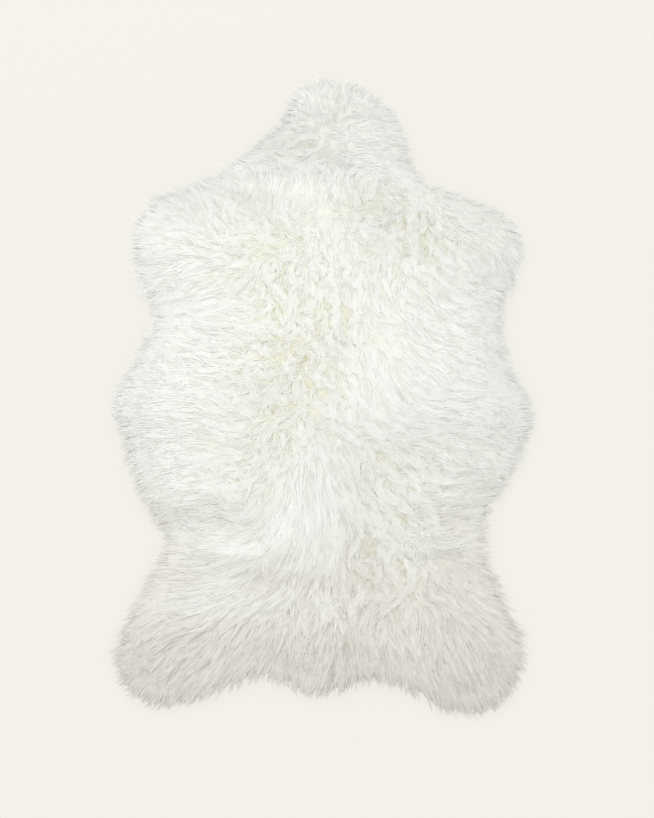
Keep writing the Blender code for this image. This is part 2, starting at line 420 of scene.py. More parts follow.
    def radius_at_depth(self, angles: np.ndarray, depth: float | np.ndarray) -> np.ndarray:
        """Find where a line from the middle at each angle comes within a depth of the
        outline, by halving the stretch that holds the place.

        Args:
            angles: the lines' angles, in radians.
            depth: how far in from the outline the place is to be.

        Returns:
            The distance of each place from the middle.
        """
        far = np.interp(angles, self.angles, self.radii, period=2.0 * math.pi)
        heading = np.stack([np.cos(angles), np.sin(angles)], axis=-1)
        near = 0.25 * far
        for _ in range(18):
            middle = 0.5 * (near + far)
            inside = self.depth(heading * middle[:, None]) > depth
            near = np.where(inside, middle, near)
            far = np.where(inside, far, middle)
        return 0.5 * (near + far)


@dataclass
class Combing:
    """How the wool lies, how long and curly it is and how grey, at any place.

    The way it lies and the relief that combing leaves are worked out once as maps.
    """

    pelt: Pelt
    wander: Drift = Drift(0.055, 3)
    ripple: Drift = Drift(0.021, 4)
    swirl: Drift = Drift(0.014, 5)
    lock_noise: Drift = Drift(0.0085, 21)
    strand_noise: Drift = Drift(0.0045, 22)
    shade_grey_noise: Drift = Drift(0.05, 31)
    wander_turn: float = math.radians(11.0)
    ripple_turn: float = math.radians(5.0)
    swirl_turn: float = math.radians(95.0)
    edge_reach: float = 0.070
    edge_lean: float = 0.45
    inner_freedom: float = 1.2
    flat_edge: float = 0.03
    rump_start: float = -0.26
    rump_full: float = -0.42
    curl_shortens: float = 0.30
    fill: float = 0.93
    ridge_step: float = 0.003
    ridge_steps: int = 9
    lock_share: float = 0.7
    strand_share: float = 0.6
    # Painted shade: how far in the rim is painted greyer and how grey, how the chart's steps map to grey,
    # and how much that grey drifts.
    rim_reach: float = 0.060
    rim_shade: float = 0.48
    half_grey: float = 0.37
    full_grey: float = 0.935
    shade_grey_drift: float = 0.06
    warm_start: float = 0.02
    warm_reach: float = 0.28
    relief: float = 0.0005
    curl_relief: float = 0.0008
    rump_relief: float = 0.0006
    hollow_start: float = 1.2
    hollow_reach: float = 1.6
    loose_clump: float = 0.12
    clump_gain: float = 0.65
    edge_clump: float = 0.4

    def __post_init__(self) -> None:
        """Lay the maps of the wool's way and of its combed relief."""
        places = self.pelt.grid
        self.way_maps = np.moveaxis(self.charted_way(places), -1, 0)
        locks = self.ridges(places, self.lock_noise, self.ridge_steps)
        strands = self.ridges(places, self.strand_noise, self.ridge_steps // 2)
        self.ridge_map = self.lock_share * locks + self.strand_share * strands
        self.fold_map = self.folds(places)

    def charted_way(self, points: np.ndarray) -> np.ndarray:
        """Work out the way the wool lies as a vector, which is short where the coat parts.

        The chart's vector is turned by a slow and a quick drift, and by a swirl where the
        wool is curly. Near the outline it is then leant outwards until it has a least share
        of the outward way.

        Args:
            points: places on the pelt.

        Returns:
            The vectors, no longer than 1.
        """
        chart = Chart(COMBING)
        share = self.pelt.share(points)
        turns = np.radians(np.array(COMBING, float)[:, 1:])
        drift = self.wander_turn * self.wander.read(points)
        drift = drift + self.ripple_turn * self.ripple.read(points)
        drift = drift + self.swirl_turn * self.curl(points) * self.swirl.read(points)
        east = chart.read(points[..., 1], share, np.cos(turns))
        north = chart.read(points[..., 1], share, np.sin(turns))
        c, s = np.cos(drift), np.sin(drift)
        way = np.stack([east * c - north * s, east * s + north * c], axis=-1)
        out = self.pelt.outward(points)
        near = np.clip(1.0 - self.pelt.depth(points) / self.edge_reach, 0.0, 1.0)
        least = self.edge_lean * np.sqrt(near) - self.inner_freedom * (1.0 - near)
        lack = np.maximum(least - (way * out).sum(-1), 0.0)
        return way + lack[..., None] * out

    def ridges(self, places: np.ndarray, noise: Drift, steps: int) -> np.ndarray:
        """Draw noise out along the way the wool lies, so that it becomes ridges.

        The value is the mean of the noise over a walk both ways from the place, scaled to
        an even spread.

        Args:
            places: where to work it out.
            noise: the noise, as wide as the ridges.
            steps: how many steps the walk has each way.

        Returns:
            The ridges' height, from about -2 to 2.
        """
        total = noise.read(places)
        for turn in (1.0, -1.0):
            place_now = places
            for _ in range(steps):
                way = self.way(place_now)
                way /= np.linalg.norm(way, axis=-1, keepdims=True) + 1e-6
                place_now = place_now + turn * self.ridge_step * way
                total = total + noise.read(place_now)
        return (total - total.mean()) / total.std()

    def folds(self, places: np.ndarray) -> np.ndarray:
        """Add up the folds: each is a bell across its way and a flatter bell along it.

        Args:
            places: where to work them out.

        Returns:
            The height of the folds in metres.
        """
        across, along, turn, half_length, half_width, rise = np.array(FOLDS, float).T
        way = np.stack([np.cos(np.radians(turn)), np.sin(np.radians(turn))], axis=-1)
        offset = places[..., None, :] / MM - np.stack([across, along], axis=-1)
        length_share = (offset * way).sum(-1) / half_length
        width_share = (offset[..., 1] * way[:, 0] - offset[..., 0] * way[:, 1]) / half_width
        return MM * (rise * np.exp(-(length_share**4) - width_share**2)).sum(-1)

    def way(self, points: np.ndarray) -> np.ndarray:
        """Read the way the wool lies from its maps."""
        parts = [self.pelt.read_map(values, points) for values in self.way_maps]
        return np.stack(parts, axis=-1)

    def ridge(self, points: np.ndarray) -> np.ndarray:
        """Read the combed relief, from about -2 in the hollows to 2 on the ridges."""
        return self.pelt.read_map(self.ridge_map, points)

    def surface(self, points: np.ndarray) -> np.ndarray:
        """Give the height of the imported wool: its share of the coat's height and the relief,
        which is deeper where the wool is curly and at the rump.

        Args:
            points: places on the pelt.

        Returns:
            The height at each place in metres.
        """
        depth = self.relief + self.curl_relief * self.curl(points)
        depth = depth + self.rump_relief * self.rump(points)
        edge = np.clip(self.pelt.depth(points) / self.flat_edge, 0.0, 1.0)
        relief = depth * self.ridge(points) + self.pelt.read_map(self.fold_map, points)
        return self.fill * self.pelt.height(points) + edge * relief

    def length(self, points: np.ndarray) -> np.ndarray:
        """Give the length of the locks in metres, which curling draws up."""
        straight = MM * Chart(LENGTH).read(points[..., 1], self.pelt.share(points))
        return straight * (1.0 - self.curl_shortens * self.curl(points))

    def curl(self, points: np.ndarray) -> np.ndarray:
        """Give how curly the wool is, from 0 to 1."""
        return Chart(CURL).read(points[..., 1], self.pelt.share(points))

    def shade_grey(self, points: np.ndarray) -> np.ndarray:
        """Give how grey the wool is painted as shade, from 0 to 1.

        The chart's steps are evened out to greyness, slowly up to its middle step and faster beyond it,
        and the wool is painted greyer along the rim, as painted shade where the edge slopes away from the
        light.

        Args:
            points: places on the pelt, in metres.

        Returns:
            The greyness at each place.
        """
        step = Chart(SHADE_GREY).read(points[..., 1], self.pelt.share(points))
        charted = np.interp(step, (0.0, 0.5, 1.0), (0.0, self.half_grey, self.full_grey))
        charted = charted + self.shade_grey_drift * self.shade_grey_noise.read(points)
        # Painted shade: the rim is painted greyer, where the edge slopes away from the light.
        rim = np.clip(1.0 - self.pelt.depth(points) / self.rim_reach, 0.0, 1.0) ** 2
        return np.maximum(charted, self.rim_shade * rim + (1.0 - rim) * charted)

    def warm(self, points: np.ndarray) -> np.ndarray:
        """Give how warm the grey of the painted shade is, from 0 at the shoulders to 1 at the rump."""
        return np.clip((self.warm_start - points[..., 1]) / self.warm_reach, 0.0, 1.0)

    def cream(self, points: np.ndarray) -> np.ndarray:
        """Give how much cream shows in the hollows of the relief, most where it is curly."""
        hollow = np.clip((-self.ridge(points) - self.hollow_start) / self.hollow_reach, 0.0, 1.0)
        return hollow * self.curl(points)

    def rump(self, points: np.ndarray) -> np.ndarray:
        """Give how near the rump a place is, from 0 to 1."""
        span = self.rump_start - self.rump_full
        return np.clip((self.rump_start - points[..., 1]) / span, 0.0, 1.0)

    def clump(self, points: np.ndarray) -> np.ndarray:
        """Give how tightly a lock's tip closes, from 0 to 1: most at the rump and the edge."""
        edge = np.clip(1.0 - self.pelt.depth(points) / self.edge_reach, 0.0, 1.0)
        return self.loose_clump + self.clump_gain * np.maximum(self.rump(points), self.edge_clump * edge)


def mesh_of(
    name: str,
    points: np.ndarray,
    quads: np.ndarray,
    triangles: np.ndarray,
    floor: np.ndarray | None = None,
) -> bpy.types.Mesh:
    """Put whole arrays of points and faces into a new mesh.

    Args:
        name: the mesh's name.
        points: the points, (n, 3), in metres.
        quads: the four-sided faces, (m, 4).
        triangles: the three-sided faces, (k, 3), which follow the quads.
        floor: the corners of one many-sided flat face, which comes last.

    Returns:
        The mesh, shaded smooth.
    """
    mesh = bpy.data.meshes.new(name)
    floor = np.empty(0, int) if floor is None else floor
    corners = np.concatenate([quads.ravel(), triangles.ravel(), floor]).astype(np.int32)
    starts = [np.arange(len(quads)) * 4, quads.size + np.arange(len(triangles)) * 3]
    starts.append([quads.size + triangles.size] if len(floor) else [])
    starts = np.concatenate(starts).astype(np.int32)
    mesh.vertices.add(len(points))
    mesh.vertices.foreach_set("co", np.ascontiguousarray(points, np.float32).ravel())
    mesh.loops.add(len(corners))
    mesh.loops.foreach_set("vertex_index", corners)
    mesh.polygons.add(len(starts))
    mesh.polygons.foreach_set("loop_start", starts)
    mesh.update(calc_edges=True)
    mesh.shade_smooth()
    return mesh


def place(mesh: bpy.types.Mesh, material: bpy.types.Material) -> bpy.types.Object:
    """Put a mesh into the scene as a piece in its finish.

    Args:
        mesh: the piece's mesh, whose name it takes.
        material: its finish.

    Returns:
        The piece.
    """
    piece = bpy.data.objects.new(mesh.name, mesh)
    mesh.materials.append(material)
    bpy.context.scene.collection.objects.link(piece)
    return piece


def add_attribute(mesh: bpy.types.Mesh, name: str, values: np.ndarray) -> None:
    """Give each of a mesh's points a number for its finish to read."""
    layer = mesh.attributes.new(name, "FLOAT", "POINT")
    layer.data.foreach_set("value", np.ascontiguousarray(values, np.float32).ravel())


class NodeTree:
    """A short way to write shader nodes."""

    def __init__(self, tree: bpy.types.NodeTree) -> None:
        """Hold the tree to write in."""
        self.tree = tree

    def add(
        self,
        kind: str,
        inputs: dict[str | int, object] | None = None,
        **settings: object,
    ) -> bpy.types.Node:
        """Add a node, set its settings, and link or set its inputs.

        Args:
            kind: the node's type.
            inputs: for each input, a socket to link from or a value.
            settings: the node's own settings.

        Returns:
            The new node.
        """
        node = self.tree.nodes.new(kind)
        for key, value in settings.items():
            setattr(node, key, value)
        for key, value in (inputs or {}).items():
            if isinstance(value, bpy.types.NodeSocket):
                self.tree.links.new(value, node.inputs[key])
            else:
                node.inputs[key].default_value = value
        return node

    def ramp(self, source: bpy.types.NodeSocket, low: float, high: float) -> bpy.types.NodeSocket:
        """Map a value by an S-curve.

        Args:
            source: the value.
            low: what becomes 0.
            high: what becomes 1.

        Returns:
            The mapped value.
        """
        inputs = {"Value": source, "From Min": low, "From Max": high}
        node = self.add("ShaderNodeMapRange", inputs, interpolation_type="SMOOTHSTEP")
        return node.outputs["Result"]

    def mix(self, share: object, first: object, second: object) -> bpy.types.NodeSocket:
        """Blend two colours."""
        inputs = {0: share, 6: first, 7: second}
        return self.add("ShaderNodeMix", inputs, data_type="RGBA").outputs[2]

    def maths(self, operation: str, first: object, second: object) -> bpy.types.NodeSocket:
        """Work out one sum of two values."""
        return self.add("ShaderNodeMath", {0: first, 1: second}, operation=operation).outputs[0]

    def number(self, name: str) -> bpy.types.NodeSocket:
        """Read the number that the mesh gives each of its points under a name."""
        return self.add("ShaderNodeAttribute", attribute_name=name).outputs["Fac"]


class Finish(NodeTree):
    """A new material, its nodes and its one shader."""

    def __init__(self, name: str) -> None:
        """Make the material and hold its shader.

        Args:
            name: the material's name.
        """
        self.material = bpy.data.materials.new(name)
        self.material.use_nodes = True
        super().__init__(self.material.node_tree)
        self.shader = self.tree.nodes["Principled BSDF"]

    def close(
        self,
        base: bpy.types.NodeSocket,
        height: bpy.types.NodeSocket,
        distance: float,
        strength: float,
        roughness: float,
    ) -> bpy.types.Material:
        """Link the colour and the bump to the shader.

        Args:
            base: the colour.
            height: the bump's height, from 0 to 1.
            distance: how high the bump's full height is, in metres.
            strength: how much of the bump shows.
            roughness: the shader's roughness.

        Returns:
            The finished material.
        """
        bump = self.add("ShaderNodeBump", {"Height": height, "Distance": distance, "Strength": strength})
        self.tree.links.new(base, self.shader.inputs["Base Color"])
        self.tree.links.new(bump.outputs["Normal"], self.shader.inputs["Normal"])
        self.shader.inputs["Roughness"].default_value = roughness
        return self.material


def colour(red: int, green: int, blue: int) -> tuple[float, float, float, float]:
    """Give the linear colour of a display colour.

    Args:
        red: its red, from 0 to 255.
        green: its green.
        blue: its blue.

    Returns:
        Red, green, blue and full cover, from 0 to 1.
    """
    shares = (channel / 255.0 for channel in (red, green, blue))
    linear = [((c + 0.055) / 1.055) ** 2.4 if c > 0.04045 else c / 12.92 for c in shares]
    return (*linear, 1.0)


def fibre_group() -> bpy.types.NodeTree:
    """Build the group of fine fibre lines that the wool and the suede share.

    The lines are noise that is squeezed across the first axis of its vector.

    Returns:
        The node group, with Vector, Scale and Stretch in and Lines out.
    """
    tree = bpy.data.node_groups.new("fibre_lines", "ShaderNodeTree")
    tree.interface.new_socket("Vector", in_out="INPUT", socket_type="NodeSocketVector")
    tree.interface.new_socket("Scale", in_out="INPUT", socket_type="NodeSocketFloat")
    tree.interface.new_socket("Stretch", in_out="INPUT", socket_type="NodeSocketFloat")
    tree.interface.new_socket("Lines", in_out="OUTPUT", socket_type="NodeSocketFloat")
    nodes = NodeTree(tree)
    given = nodes.add("NodeGroupInput").outputs
    squeeze = nodes.add("ShaderNodeCombineXYZ", {"X": given["Stretch"], "Y": 1.0, "Z": 1.0})
    factors = {0: given["Vector"], 1: squeeze.outputs[0]}
    vector = nodes.add("ShaderNodeVectorMath", factors, operation="MULTIPLY")
    grain = {"Vector": vector.outputs[0], "Scale": given["Scale"], "Detail": 3.0}
    noise = nodes.add("ShaderNodeTexNoise", grain)
    nodes.add("NodeGroupOutput", {"Lines": noise.outputs["Fac"]})
    return tree


@dataclass(frozen=True)
class WoolFinish:
    """The silky white wool: cream at the root, white along its length, and painted greyer by the rump, the
    head and the rim, which is painted shade.
    """

    root: tuple[float, ...] = colour(234, 229, 180)
    tip: tuple[float, ...] = colour(252, 253, 249)
    # Painted shade: the greys that the chart paints over the white and the root, cool at the shoulders and
    # warm at the rump.
    cool_shade_grey: tuple[float, ...] = colour(214, 217, 213)
    warm_shade_grey: tuple[float, ...] = colour(219, 211, 205)
    shade_grey_root: tuple[float, ...] = colour(200, 190, 170)
    roughness: float = 0.62
    sheen: float = 0.25
    sheen_roughness: float = 0.5
    shade_tone: tuple[float, ...] = colour(150, 140, 120)
    shade_depth: float = 0.06
    fibre_scale: float = 500.0
    fibre_stretch: float = 3.0
    bump_height: float = 0.0002
    bump_strength: float = 0.5

    def make(self, name: str, fibres: bpy.types.NodeTree) -> bpy.types.Material:
        """Make the finish of the locks.

        Args:
            name: the material's name.
            fibres: the group of fibre lines.

        Returns:
            The material.
        """
        finish = Finish(name)
        cream, shade_grey = finish.number("cream"), finish.number("shade_grey")
        shade, warm = finish.number("shade"), finish.number("warm")
        # Painted shade: the white and the cream root are greyed by the chart's painted grey.
        length = finish.mix(shade_grey, self.tip, finish.mix(warm, self.cool_shade_grey, self.warm_shade_grey))
        coat = finish.mix(cream, length, finish.mix(shade_grey, self.root, self.shade_grey_root))
        dark = finish.maths("MULTIPLY", shade, self.shade_depth)
        shaded = finish.mix(dark, coat, self.shade_tone)
        uv = finish.add("ShaderNodeUVMap", uv_map="OFBake").outputs["UV"]
        grain = {"Vector": uv, "Scale": self.fibre_scale, "Stretch": self.fibre_stretch}
        lines = finish.add("ShaderNodeGroup", grain, node_tree=fibres).outputs["Lines"]
        finish.shader.inputs["Sheen Weight"].default_value = self.sheen
        finish.shader.inputs["Sheen Roughness"].default_value = self.sheen_roughness
        return finish.close(shaded, lines, self.bump_height, self.bump_strength, self.roughness)


@dataclass(frozen=True)
class UnderwoolFinish:
    """The dense underwool between the locks: cream in its hollows, white on its crests."""

    hollow: tuple[float, ...] = colour(238, 235, 204)
    crest: tuple[float, ...] = colour(250, 250, 245)
    # Painted shade: the greys that the chart paints over the underwool, cool at the shoulders and warm at
    # the rump.
    cool_shade_grey: tuple[float, ...] = colour(214, 217, 212)
    warm_shade_grey: tuple[float, ...] = colour(219, 211, 204)
    roughness: float = 0.9
    clump_scale: float = 110.0
    fleck_share: float = 0.3
    fleck_range: tuple[float, float] = (0.35, 0.7)
    fibre_scale: float = 260.0
    fibre_stretch: float = 2.5
    bump_height: float = 0.0012
    bump_strength: float = 0.8

    def make(self, name: str, fibres: bpy.types.NodeTree) -> bpy.types.Material:
        """Make the finish of the underwool.

        Args:
            name: the material's name.
            fibres: the group of fibre lines.

        Returns:
            The material.
        """
        finish = Finish(name)
        place_at = finish.add("ShaderNodeTexCoord").outputs["Object"]
        clump_grain = {"Vector": place_at, "Scale": self.clump_scale, "Detail": 4.0}
        clumps = finish.add("ShaderNodeTexNoise", clump_grain).outputs["Fac"]
        grain = {"Vector": place_at, "Scale": self.fibre_scale, "Stretch": self.fibre_stretch}
        lines = finish.add("ShaderNodeGroup", grain, node_tree=fibres).outputs["Lines"]
        fleck = finish.maths("MULTIPLY", finish.ramp(clumps, *self.fleck_range), self.fleck_share)
        cream = finish.mix(finish.maths("MAXIMUM", finish.number("cream"), fleck), self.crest, self.hollow)
        # Painted shade: the chart's painted grey, cool or warm, laid over the cream and white.
        shade_grey = finish.mix(finish.number("warm"), self.cool_shade_grey, self.warm_shade_grey)
        base = finish.mix(finish.number("shade_grey"), cream, shade_grey)
        height = finish.maths("ADD", clumps, lines)
        return finish.close(base, height, self.bump_height, self.bump_strength, self.roughness)


@dataclass(frozen=True)
class SuedeFinish:
    """The tanned flesh side of the skin: matt, mottled buff suede."""

    light: tuple[float, ...] = colour(232, 220, 196)
    dark: tuple[float, ...] = colour(206, 188, 158)
    roughness: float = 0.92
    mottle_scale: float = 14.0
    nap_scale: float = 700.0
    nap_stretch: float = 1.4
    blotch_share: float = 0.6
    blotch_range: tuple[float, float] = (0.3, 0.7)
    fleck_range: tuple[float, float] = (0.35, 0.65)
    bump_height: float = 0.0005
    bump_strength: float = 0.6

    def make(self, name: str, fibres: bpy.types.NodeTree) -> bpy.types.Material:
        """Make the finish of the skin.

        Args:
            name: the material's name.
            fibres: the group of fibre lines.

        Returns:
            The material.
        """
        finish = Finish(name)
        place_at = finish.add("ShaderNodeTexCoord").outputs["Object"]
        mottle_grain = {"Vector": place_at, "Scale": self.mottle_scale, "Detail": 5.0}
        mottle = finish.add("ShaderNodeTexNoise", mottle_grain).outputs["Fac"]
        grain = {"Vector": place_at, "Scale": self.nap_scale, "Stretch": self.nap_stretch}
        nap = finish.add("ShaderNodeGroup", grain, node_tree=fibres).outputs["Lines"]
        blotch = finish.maths("MULTIPLY", finish.ramp(mottle, *self.blotch_range), self.blotch_share)
        fleck = finish.maths("MULTIPLY", finish.ramp(nap, *self.fleck_range), 1.0 - self.blotch_share)
        base = finish.mix(finish.maths("ADD", blotch, fleck), self.dark, self.light)
        return finish.close(base, nap, self.bump_height, self.bump_strength, self.roughness)


def disc_faces(rings: int, spokes: int) -> tuple[np.ndarray, np.ndarray]:
    """Number the faces of a closed round form made of rings between two poles.

    Ring r, spoke s is point 1 + r * spokes + s. Point 0 is the first pole, and the last
    point is the second one.

    Args:
        rings: how many rings lie between the poles.
        spokes: how many points a ring has.

    Returns:
        The quads between the rings, and the triangles at the poles.
    """
    ring = np.arange(rings - 1)[:, None] * spokes + 1
    spoke = np.arange(spokes)[None, :]
    after = (spoke + 1) % spokes
    quads = np.stack([ring + spoke, ring + spokes + spoke, ring + spokes + after, ring + after], axis=-1)
    last = 1 + rings * spokes
    first_cap = np.stack([np.zeros(spokes, int), 1 + spoke[0], 1 + after[0]], axis=-1)
    end = last - spokes
    last_cap = np.stack([np.full(spokes, last), end + after[0], end + spoke[0]], axis=-1)
    return quads.reshape(-1, 4), np.concatenate([first_cap, last_cap])


@dataclass
class Skin:
    """The tanned skin: a thin sheet that lies flat, well inside the reach of the wool.

    Where the locks lie straight out over the edge, the skin ends most of a lock's length
    inside the wool's outline, and where they lie along the edge it comes close to it.
    """

    pelt: Pelt
    combing: Combing
    thickness: float = 0.002
    least_overhang: float = 0.014
    reach_share: float = 0.80
    sample_depth: float = 0.030
    spokes: int = 180
    rings: int = 10
    smoothing: int = 7

    def __post_init__(self) -> None:
        """Find how far the wool reaches past the skin at each angle."""
        self.angles = 2.0 * math.pi * np.arange(self.spokes) / self.spokes - math.pi
        radius = self.pelt.radius_at_depth(self.angles, self.sample_depth)
        heading = np.stack([np.cos(self.angles), np.sin(self.angles)], axis=-1)
        places = heading * radius[:, None]
        way = self.combing.way(places)
        way /= np.linalg.norm(way, axis=-1, keepdims=True)
        straight = np.clip((way * self.pelt.outward(places)).sum(-1), 0.0, 1.0)
        reach = self.reach_share * self.combing.length(places) * straight
        reach = np.maximum(reach, self.least_overhang)
        turns = range(-self.smoothing, self.smoothing + 1)
        self.overhang = np.mean([np.roll(reach, turn) for turn in turns], axis=0)
        self.edge = self.pelt.radius_at_depth(self.angles, self.overhang)

    def edge_depth(self, angles: np.ndarray) -> np.ndarray:
        """Give how far the wool reaches past the skin at any angle."""
        return np.interp(angles, self.angles, self.overhang, period=2.0 * math.pi)

    def holds(self, points: np.ndarray, margin: float) -> np.ndarray:
        """Say which points lie on the skin, or at most a margin outside it."""
        angles = np.arctan2(points[..., 1], points[..., 0])
        return self.pelt.depth(points) > self.edge_depth(angles) - margin

    def build(self, finish: bpy.types.Material) -> bpy.types.Object:
        """Build the sheet: rings go out over its underside, round the edge and back over its
        top. A ring's radius is its share of the edge's radius at each angle.

        Args:
            finish: the skin's material.

        Returns:
            The piece.
        """
        out = (np.arange(self.rings) + 1) / self.rings
        shares = np.concatenate([out, out[::-1]])
        heights = np.repeat([0.0, self.thickness], self.rings)
        radius = shares[:, None] * self.edge[None, :]
        x = radius * np.cos(self.angles)
        y = radius * np.sin(self.angles)
        z = np.broadcast_to(heights[:, None], x.shape)
        rings = np.stack([x, y, z], axis=-1).reshape(-1, 3)
        points = np.vstack([[0.0, 0.0, 0.0], rings, [0.0, 0.0, self.thickness]])
        quads, caps = disc_faces(2 * self.rings, self.spokes)
        mesh = mesh_of("skin", points, quads[:, ::-1], caps[:, ::-1])
        self.area = 0.5 * float((self.edge**2 * math.sin(2.0 * math.pi / self.spokes)).sum())
        self.flat = (float(np.ptp(x)), float(np.ptp(y)))
        return place(mesh, finish)


@dataclass
class Underwool:
    """The dense wool that is packed between the locks and carries them."""

    pelt: Pelt
    combing: Combing
    skin: Skin
    most_overhang: float = 0.011
    overhang_share: float = 0.5
    base: float = 0.0024
    roll: float = 0.014
    sink: float = 0.0003
    curl_sink: float = 0.0006
    curl_cream: float = 0.7
    columns: int = 196
    rows: int = 298

    def edge_depth(self, angles: np.ndarray) -> np.ndarray:
        """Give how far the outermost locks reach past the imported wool."""
        return np.minimum(self.overhang_share * self.skin.edge_depth(angles), self.most_overhang)

    def top(self, points: np.ndarray) -> np.ndarray:
        """Give the height of the mass's top, which is rolled down to its edge by a quarter
        circle of the depth past the edge.

        Args:
            points: places in the plan.

        Returns:
            The height at each place in metres, 0 outside the mass.
        """
        angles = np.arctan2(points[..., 1], points[..., 0])
        past = (self.pelt.depth(points) - self.edge_depth(angles)) / self.roll
        rolled = np.sqrt(1.0 - (1.0 - np.clip(past, 0.0, 1.0)) ** 2)
        full = np.maximum(self.combing.surface(points), 1.5 * self.base)
        return np.where(past < 0.0, 0.0, self.base + (full - self.base) * rolled)

    def build(self, finish: bpy.types.Material) -> bpy.types.Object:
        """Build the mass on a square grid that is pressed into a disc and out to the edge.

        A grid place (u, v) goes to (u sqrt(1 - v v / 2), v sqrt(1 - u u / 2)) in the disc,
        and from there along its own angle by its share of the edge's radius. The top is the
        packed wool's height, rolled down at the edge by a quarter circle, and one flat face
        closes the bottom.

        Args:
            finish: the underwool's material.

        Returns:
            The piece.
        """
        u = np.linspace(-1.0, 1.0, self.columns + 1)[:, None]
        v = np.linspace(-1.0, 1.0, self.rows + 1)[None, :]
        disc = np.stack([u * np.sqrt(1.0 - 0.5 * v * v), v * np.sqrt(1.0 - 0.5 * u * u)], axis=-1)
        share = np.linalg.norm(disc, axis=-1)
        angles = np.arctan2(disc[..., 1], disc[..., 0])
        ring = np.linspace(-math.pi, math.pi, 1441)
        edge = np.interp(angles, ring, self.pelt.radius_at_depth(ring, self.edge_depth(ring)))
        heading = np.stack([np.cos(angles), np.sin(angles)], axis=-1)
        plan = heading * (share * edge)[..., None]
        sink = self.sink + self.curl_sink * self.combing.curl(plan)
        z = np.where(share > 0.9999, self.base, np.maximum(self.top(plan) - sink, self.base))
        points = np.concatenate([plan, z[..., None]], axis=-1).reshape(-1, 3)
        number = np.arange(len(points)).reshape(self.columns + 1, self.rows + 1)
        quads = np.stack([number[:-1, :-1], number[1:, :-1], number[1:, 1:], number[:-1, 1:]], axis=-1)
        rim = np.concatenate([number[:-1, 0], number[-1, :-1], number[:0:-1, -1], number[0, :0:-1]])
        mesh = mesh_of("underwool", points, quads.reshape(-1, 4), np.empty((0, 3), int), rim[::-1])
        # Painted shade: the chart's grey, for the finish to paint over the underwool.
        add_attribute(mesh, "shade_grey", self.combing.shade_grey(points[:, :2]))
        add_attribute(mesh, "warm", self.combing.warm(points[:, :2]))
        curl_cream = self.curl_cream * self.combing.curl(points[:, :2])
        cream = np.maximum(self.combing.cream(points[:, :2]), curl_cream)
        add_attribute(mesh, "cream", cream)
        return place(mesh, finish)


@dataclass(frozen=True)
class Strand:
    """The form of a strand: its section, as steps aside and up in half widths, and its width
    at each ring from root to tip."""

    section: tuple[tuple[float, float], ...]
    taper: tuple[float, ...]
    width: float

    @property
    def rings(self) -> int:
        """Count the rings before the tip."""
        return len(self.taper)

    @property
    def triangles(self) -> int:
        """Count the triangles: two for each side between rings, the tip and the root."""
        sides = len(self.section)
        return 2 * sides * (self.rings - 1) + sides + sides - 2


HAIR_SECTION = ((1.0, 0.0), (0.0, 0.26), (-1.0, 0.0))


@dataclass(frozen=True)
class Coat:
    """One coat of locks, each a bundle of strands."""

    name: str
    growth: Growth
    spacing: float
    form: Strand
    hairs: int
    half_width: float
    length_share: float
    lift: float
    lift_spread: float
    scatter: float
    least_rise: float
    seed: int


STAPLE = Coat(
    name="staple",
    growth=Growth.WHOLE,
    spacing=0.0094,
    form=Strand(HAIR_SECTION, (0.9, 1.0, 0.75), 0.0013),
    hairs=6,
    half_width=0.0042,
    length_share=1.0,
    lift=0.0004,
    lift_spread=0.0003,
    scatter=0.05,
    least_rise=0.80,
    seed=12,
)
FRINGE = Coat(
    name="fringe",
    growth=Growth.EDGE,
    spacing=0.0056,
    form=Strand(HAIR_SECTION, (0.9, 1.0, 0.75), 0.0013),
    hairs=5,
    half_width=0.0036,
    length_share=1.0,
    lift=0.0004,
    lift_spread=0.0003,
    scatter=0.08,
    least_rise=0.20,
    seed=14,
)
CRIMP = Coat(
    name="crimp",
    growth=Growth.CRIMPED,
    spacing=0.0072,
    form=Strand(HAIR_SECTION, (0.8, 1.0, 0.8), 0.0015),
    hairs=2,
    half_width=0.0022,
    length_share=0.55,
    lift=0.0008,
    lift_spread=0.0005,
    scatter=0.50,
    least_rise=0.80,
    seed=15,
)
GUARD = Coat(
    name="guard",
    growth=Growth.WHOLE,
    spacing=0.0270,
    form=Strand(HAIR_SECTION, (0.8, 1.0, 0.7), 0.0011),
    hairs=3,
    half_width=0.0030,
    length_share=1.10,
    lift=0.0008,
    lift_spread=0.0004,
    scatter=0.14,
    least_rise=0.80,
    seed=13,
)


@dataclass
class Strands:
    """Many strands of one form: their places, widths and the numbers their finish reads."""

    form: Strand
    places: np.ndarray
    width: np.ndarray
    cream: np.ndarray
    shade_grey: np.ndarray
    warm: np.ndarray
    shade: np.ndarray
    root: np.ndarray

    def part(self, chosen: np.ndarray) -> "Strands":
        """Take some of the strands."""
        numbers = (self.places, self.width, self.cream, self.shade_grey, self.warm, self.shade, self.root)
        return Strands(self.form, *(values[chosen] for values in numbers))


